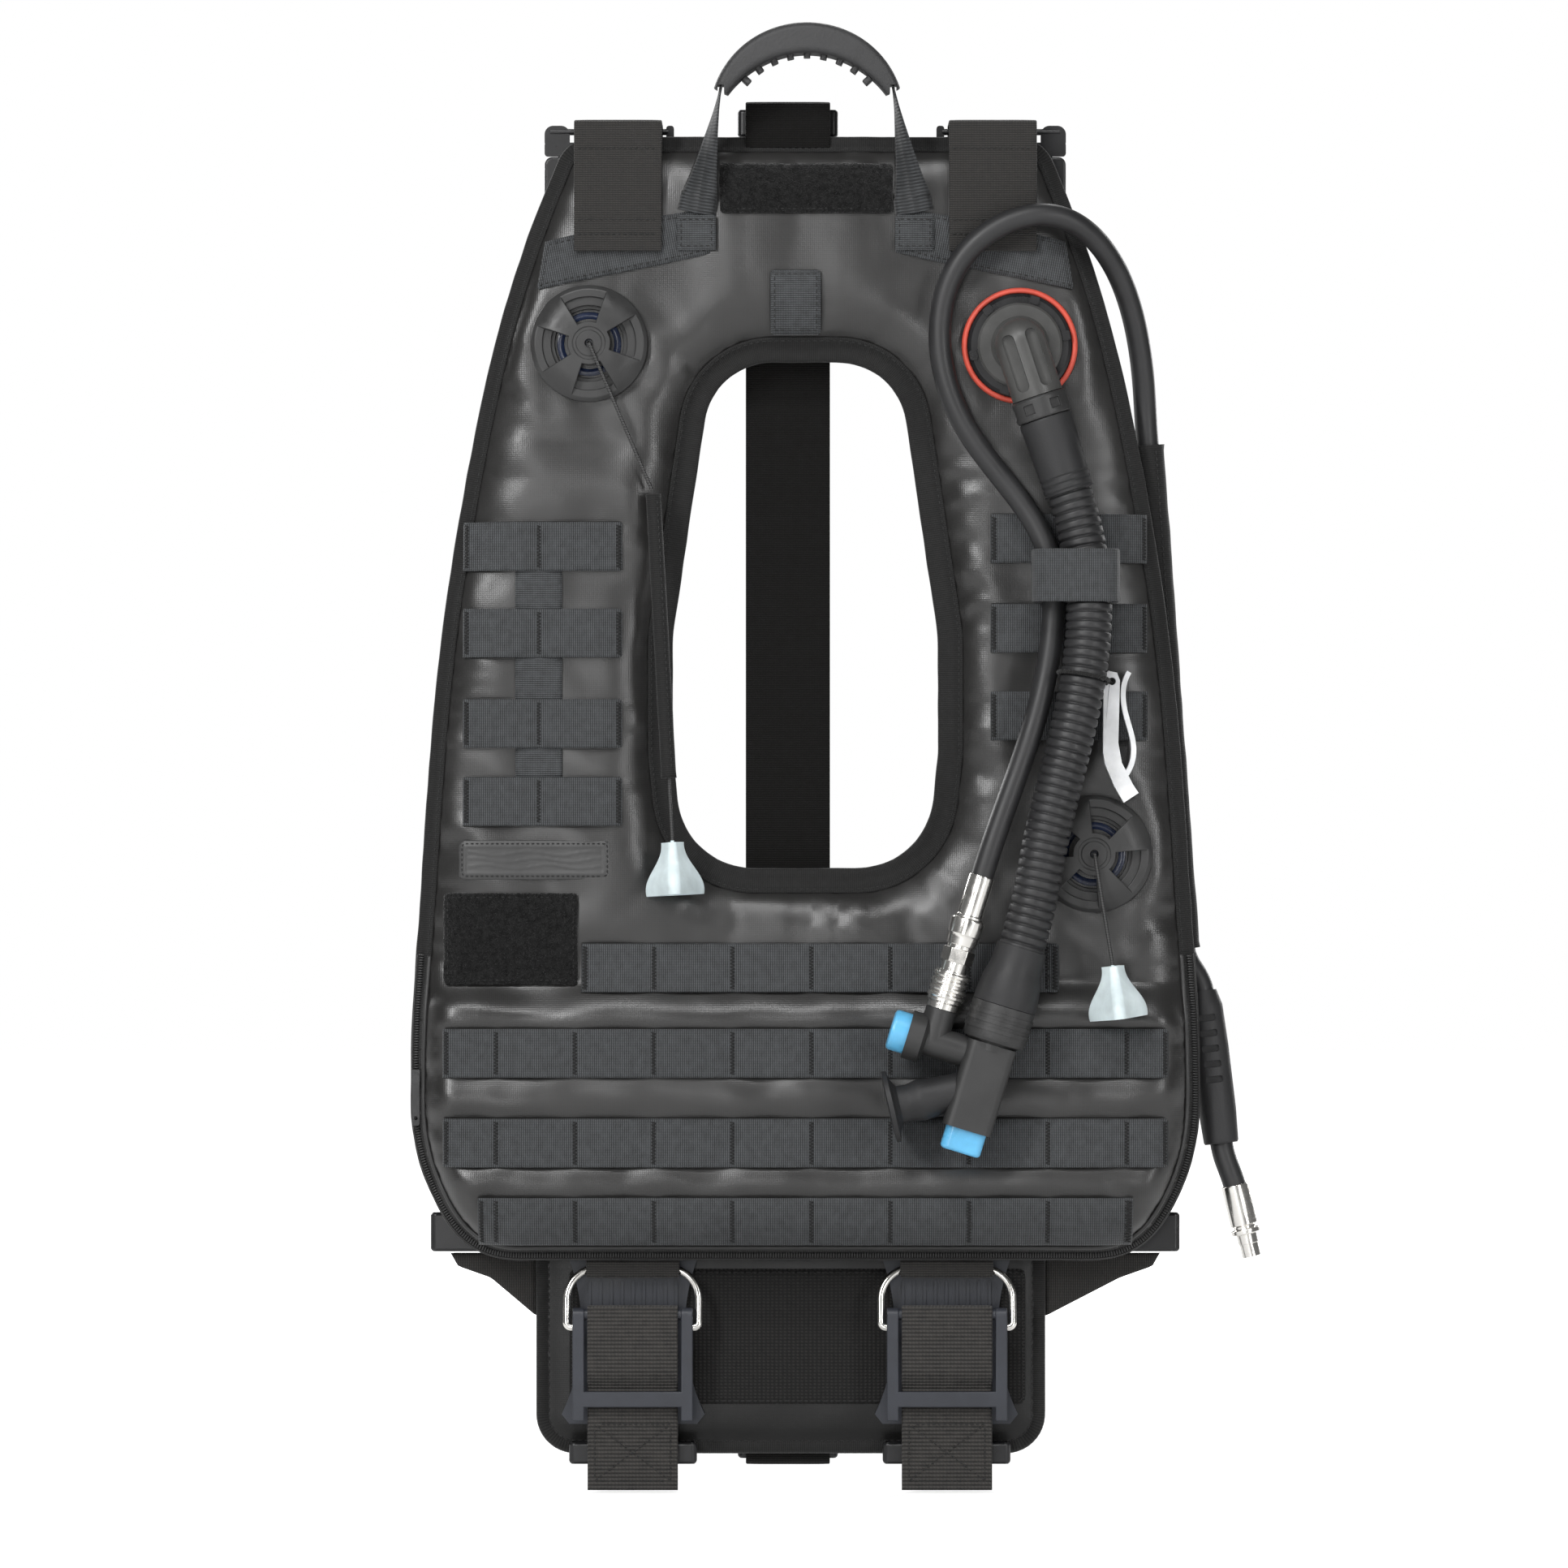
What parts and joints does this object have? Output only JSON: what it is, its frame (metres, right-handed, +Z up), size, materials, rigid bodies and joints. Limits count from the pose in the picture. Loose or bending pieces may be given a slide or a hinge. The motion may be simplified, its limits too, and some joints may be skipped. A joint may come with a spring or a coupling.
{
  "type": "buoyancy compensator vest",
  "caption": "Inflatable diving vest with a neck opening, webbing rows, power inflator with hoses, pull dump valves, a cylinder pad with lever cinches and a carry handle.",
  "frame": {"origin": "on the vest's centre line, in the middle of the air cell's thickness, at the height of the lower ends of the cinch strap tails", "axes": "+Z up, the front of the vest faces -Y, +X to the viewer's right when facing the front"},
  "size_m": [0.4386, 0.1041, 0.7538],
  "materials": {
    "coated_fabric": "satin",
    "binding_tape": "matte",
    "webbing": "matte",
    "molle_webbing": "matte",
    "loop_pile": "matte",
    "patch_rubber": "satin",
    "bladder_film": "satin",
    "pad_cloth": "matte",
    "zip_plastic": "satin",
    "black_plastic": "satin",
    "grey_plastic": "satin",
    "hose_rubber": "satin",
    "red_rubber": "satin",
    "seal_rubber": "gloss",
    "polished_steel": "polished",
    "nickel_plate": "polished",
    "spring_steel": "satin",
    "blue_button": "gloss",
    "pale_toggle": "satin",
    "white_whistle": "satin"
  },
  "bodies": {
    "vest": {"front_shell": "coated_fabric", "back_shell": "coated_fabric", "air_bladder": "bladder_film", "edge_bindings": "binding_tape", "pocket_cover": "coated_fabric", "pocket_zip": "zip_plastic", "molle_rows_lower": "molle_webbing", "molle_strips_side": "molle_webbing", "loop_patches": "loop_pile", "name_patch": "patch_rubber", "sewn_tabs": "molle_webbing", "cord_sleeve": "binding_tape", "hose_sleeve": "binding_tape", "spine_strap": "webbing", "webbing_slides": "black_plastic", "shoulder_straps": "webbing", "buckle_plug_left": "black_plastic", "buckle_plug_right": "black_plastic", "cylinder_pad": "pad_cloth", "pad_panel": "pad_cloth", "waist_straps": "webbing", "cinch_bases": "grey_plastic", "dump_valve_bases": "black_plastic", "dump_valve_covers": "black_plastic", "elbow_flange": "black_plastic", "elbow_gasket": "red_rubber", "elbow_body": "black_plastic", "elbow_collar": "black_plastic", "hose_cuffs": "hose_rubber", "corrugated_hose": "hose_rubber", "inflator_body": "black_plastic", "mouthpiece": "hose_rubber", "coupler_body": "nickel_plate", "lp_hose": "hose_rubber", "lp_fittings": "nickel_plate", "hose_protector": "hose_rubber", "hose_keeper": "molle_webbing", "whistle_lanyard": "spring_steel", "valve_springs": "spring_steel"},
    "carry_handle": {"handle_grip": "black_plastic", "handle_webbing": "molle_webbing"},
    "zip_slider": {"zip_slider": "zip_plastic"},
    "dump_stem_upper": {"dump_disc_upper": "seal_rubber"},
    "dump_pull_upper": {"pull_toggle_upper": "pale_toggle"},
    "dump_stem_lower": {"dump_disc_lower": "seal_rubber"},
    "dump_pull_lower": {"pull_toggle_lower": "pale_toggle"},
    "inflate_button": {"inflate_button": "blue_button"},
    "deflate_button": {"deflate_button": "blue_button"},
    "coupler_collar": {"coupler_collar": "nickel_plate"},
    "whistle": {"whistle": "white_whistle"},
    "bail_left": {"bail_left": "polished_steel"},
    "lever_left": {"lever_left": "grey_plastic", "lever_strap_left": "webbing"},
    "harness_left": {"buckle_socket_left": "black_plastic", "harness_strap_left": "webbing"},
    "bail_right": {"bail_right": "polished_steel"},
    "lever_right": {"lever_right": "grey_plastic", "lever_strap_right": "webbing"},
    "harness_right": {"buckle_socket_right": "black_plastic", "harness_strap_right": "webbing"}
  },
  "joints": [
    {"name": "handle_fold", "type": "hinge", "parent": "vest", "child": "carry_handle", "pos_m": [0, -0.01945, 0.657], "axis": [1, 0, 0], "range_deg": [0, 75]},
    {"name": "zip_run", "type": "slide", "parent": "vest", "child": "zip_slider", "axis": [0.02, 0, 0.9998], "range_m": [0, 0.038]},
    {"name": "dump_valve_upper", "type": "slide", "parent": "vest", "child": "dump_stem_upper", "axis": [0, -1, 0], "range_m": [0, 0.0025], "stiffness_N_per_m": 400},
    {"name": "dump_cord_upper", "type": "slide", "parent": "vest", "child": "dump_pull_upper", "axis": [0.0549, -0.0377, -0.9978], "range_m": [0, 0.012], "stiffness_N_per_m": 60},
    {"name": "dump_valve_lower", "type": "slide", "parent": "vest", "child": "dump_stem_lower", "axis": [0, -1, 0], "range_m": [0, 0.0025], "stiffness_N_per_m": 400},
    {"name": "toggle_swing_lower", "type": "hinge", "parent": "dump_stem_lower", "child": "dump_pull_lower", "pos_m": [0.148, -0.0301, 0.328], "axis": [0, -1, 0], "range_deg": [-8, 25]},
    {"name": "inflate_press", "type": "slide", "parent": "vest", "child": "inflate_button", "axis": [0.9563, 0, -0.2924], "range_m": [0, 0.004], "stiffness_N_per_m": 500},
    {"name": "deflate_press", "type": "slide", "parent": "vest", "child": "deflate_button", "axis": [0.2924, 0, 0.9563], "range_m": [0, 0.004], "stiffness_N_per_m": 500},
    {"name": "coupler_release", "type": "slide", "parent": "vest", "child": "coupler_collar", "axis": [0.2924, 0, 0.9563], "range_m": [0, 0.0035], "stiffness_N_per_m": 500},
    {"name": "whistle_swing", "type": "hinge", "parent": "vest", "child": "whistle", "pos_m": [0.157, -0.0253, 0.4166], "axis": [0, -1, 0], "range_deg": [0, 30]},
    {"name": "bail_swing_left", "type": "hinge", "parent": "vest", "child": "bail_left", "pos_m": [-0.089, 0.005, 0.114], "axis": [-1, 0, 0], "range_deg": [0, 50]},
    {"name": "lever_open_left", "type": "hinge", "parent": "bail_left", "child": "lever_left", "pos_m": [-0.089, -0.002, 0.084], "axis": [-1, 0, 0], "range_deg": [0, 75]},
    {"name": "buckle_release_left", "type": "slide", "parent": "vest", "child": "harness_left", "axis": [0, 0, -1], "range_m": [0, 0.022], "stiffness_N_per_m": 400},
    {"name": "bail_swing_right", "type": "hinge", "parent": "vest", "child": "bail_right", "pos_m": [0.073, 0.005, 0.114], "axis": [-1, 0, 0], "range_deg": [0, 50]},
    {"name": "lever_open_right", "type": "hinge", "parent": "bail_right", "child": "lever_right", "pos_m": [0.073, -0.002, 0.084], "axis": [-1, 0, 0], "range_deg": [0, 75]},
    {"name": "buckle_release_right", "type": "slide", "parent": "vest", "child": "harness_right", "axis": [0, 0, -1], "range_m": [0, 0.022], "stiffness_N_per_m": 400}
  ],
  "couplings": [
    {"joint": "dump_valve_upper", "follows": "dump_cord_upper", "ratio": 0.2083}
  ]
}
